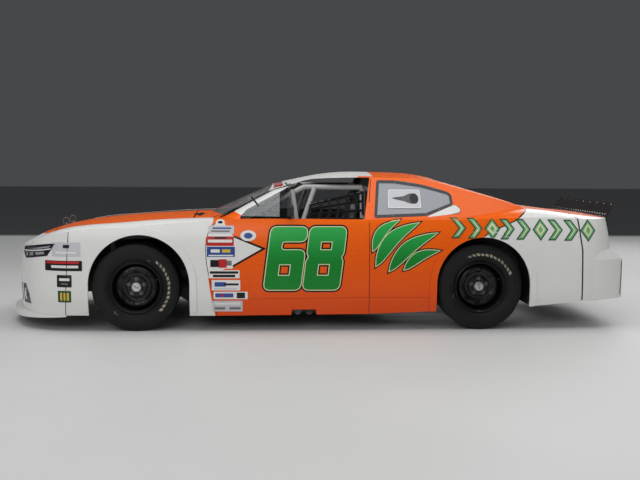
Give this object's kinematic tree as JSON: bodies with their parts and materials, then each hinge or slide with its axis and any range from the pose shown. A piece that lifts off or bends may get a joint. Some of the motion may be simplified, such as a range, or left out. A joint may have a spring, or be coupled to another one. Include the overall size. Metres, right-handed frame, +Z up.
{
  "type": "stock car",
  "caption": "Closed two-door stock car with tube frame, roll cage, steel wheels, hinged hood and deck lid with a rear spoiler.",
  "frame": {"origin": "on the ground under the middle of the car's overall length, on its centreline", "axes": "+X towards the tail, +Z up, -Y towards the driver's side (left)"},
  "size_m": [5.1098, 1.964, 1.2568],
  "materials": {
    "white_paint": "gloss",
    "orange_paint": "gloss",
    "black_plastic": "matte",
    "glass_clear": "clear",
    "glass_grey": "tinted",
    "tyre_rubber": "matte",
    "wheel_black": "satin",
    "frame_paint": "satin",
    "cage_paint": "satin",
    "steel": "satin",
    "iron": "rough",
    "sheet_metal": "satin",
    "webbing": "woven",
    "seat_cover": "woven",
    "alloy": "satin"
  },
  "bodies": {
    "chassis": {"nose_cover": "white_paint", "grille": "black_plastic", "splitter": "black_plastic", "fender_left": "white_paint", "fender_right": "white_paint", "door_left": "orange_paint", "door_right": "orange_paint", "quarter_left": "orange_paint", "quarter_right": "orange_paint", "bumper_rear": "white_paint", "cowl_panel": "orange_paint", "tulip_panel": "orange_paint", "roof_panel": "white_paint", "sail_panel_left": "orange_paint", "sail_panel_right": "orange_paint", "windshield": "glass_clear", "rear_window": "glass_clear", "quarter_windows": "glass_grey", "vent_panes": "glass_clear", "window_ducts": "white_paint", "side_mirror": "black_plastic", "front_arms": "steel", "front_springs": "steel", "rack_housing": "alloy", "steering_column": "steel", "door_bars_left": "cage_paint", "door_bars_right": "cage_paint", "frame_rails": "frame_paint", "roll_cage": "cage_paint", "floor_pan": "sheet_metal", "dash_panel": "sheet_metal", "exhaust_pipes": "steel", "seat": "seat_cover", "window_net": "webbing", "engine_block": "iron", "driveline": "iron", "rear_axle": "iron", "rear_suspension": "steel", "wheel_houses": "sheet_metal", "radiator": "alloy", "fuel_cell": "black_plastic"},
    "wheel_fl": {"tyre_fl": "tyre_rubber", "rim_fl": "wheel_black"},
    "wheel_fr": {"tyre_fr": "tyre_rubber", "rim_fr": "wheel_black"},
    "wheel_rl": {"tyre_rl": "tyre_rubber", "rim_rl": "wheel_black"},
    "wheel_rr": {"tyre_rr": "tyre_rubber", "rim_rr": "wheel_black"},
    "knuckle_l": {"knuckle_left": "iron"},
    "knuckle_r": {"knuckle_right": "iron"},
    "rack": {"steering_rack": "steel"},
    "steering": {"steering_wheel": "black_plastic"},
    "hood_lid": {"hood": "orange_paint"},
    "rear_deck": {"deck_lid": "orange_paint", "spoiler": "black_plastic"}
  },
  "joints": [
    {"name": "steer_left", "type": "hinge", "parent": "chassis", "child": "knuckle_l", "pos_m": [-1.4385, -0.735, 0.3445], "axis": [0, 0, 1], "range_deg": [-24, 24]},
    {"name": "steer_right", "type": "hinge", "parent": "chassis", "child": "knuckle_r", "pos_m": [-1.4385, 0.735, 0.3445], "axis": [0, 0, 1], "range_deg": [-24, 24]},
    {"name": "rack_slide", "type": "slide", "parent": "chassis", "child": "rack", "axis": [0, 1, 0], "range_m": [-0.045, 0.045]},
    {"name": "wheel_turn", "type": "hinge", "parent": "chassis", "child": "steering", "pos_m": [-0.3535, -0.375, 0.8], "axis": [0.9272, 0, 0.3746], "range_deg": [-290, 290]},
    {"name": "spin_fl", "type": "hinge", "parent": "knuckle_l", "child": "wheel_fl", "pos_m": [-1.4385, -0.794, 0.3445], "axis": [0, 1, 0], "continuous": true},
    {"name": "spin_fr", "type": "hinge", "parent": "knuckle_r", "child": "wheel_fr", "pos_m": [-1.4385, 0.794, 0.3445], "axis": [0, 1, 0], "continuous": true},
    {"name": "spin_rl", "type": "hinge", "parent": "chassis", "child": "wheel_rl", "pos_m": [1.3045, -0.794, 0.3445], "axis": [0, 1, 0], "continuous": true},
    {"name": "spin_rr", "type": "hinge", "parent": "chassis", "child": "wheel_rr", "pos_m": [1.3045, 0.794, 0.3445], "axis": [0, 1, 0], "continuous": true},
    {"name": "hood_hinge", "type": "hinge", "parent": "chassis", "child": "hood_lid", "pos_m": [-1.0585, 0, 0.86174], "axis": [0, 1, 0], "range_deg": [0, 55]},
    {"name": "deck_hinge", "type": "hinge", "parent": "chassis", "child": "rear_deck", "pos_m": [1.8975, 0, 0.93112], "axis": [0, -1, 0], "range_deg": [0, 50]}
  ],
  "couplings": [
    {"joint": "steer_right", "follows": "steer_left", "ratio": 1},
    {"joint": "rack_slide", "follows": "steer_left", "m_per_rad": 0.088},
    {"joint": "wheel_turn", "follows": "steer_left", "ratio": 12}
  ]
}
